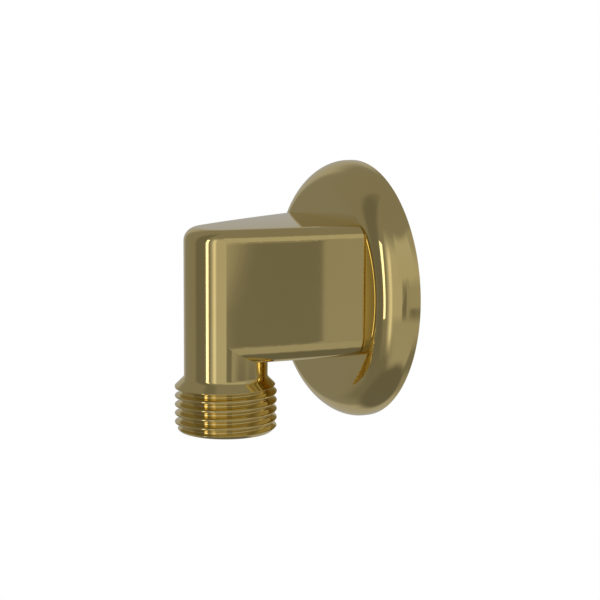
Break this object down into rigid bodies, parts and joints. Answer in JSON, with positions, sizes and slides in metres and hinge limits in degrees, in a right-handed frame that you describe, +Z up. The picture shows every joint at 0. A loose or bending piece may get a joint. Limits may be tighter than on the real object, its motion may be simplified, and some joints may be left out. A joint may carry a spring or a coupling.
{
  "type": "wall outlet elbow",
  "caption": "Polished brass wall elbow for a shower hose: a round cover flange and a tapered body that turns the supply down to a threaded outlet.",
  "frame": {"origin": "centre of the flange's back, on the supply pipe's axis, in the plane of the wall", "axes": "+Y into the wall along the supply pipe, +Z up, the outlet points along -Z"},
  "size_m": [0.054, 0.0404, 0.0546],
  "materials": {
    "body_brass": "polished",
    "flange_brass": "polished"
  },
  "bodies": {
    "root": {"elbow_body": "body_brass", "wall_flange": "flange_brass"}
  },
  "joints": []
}
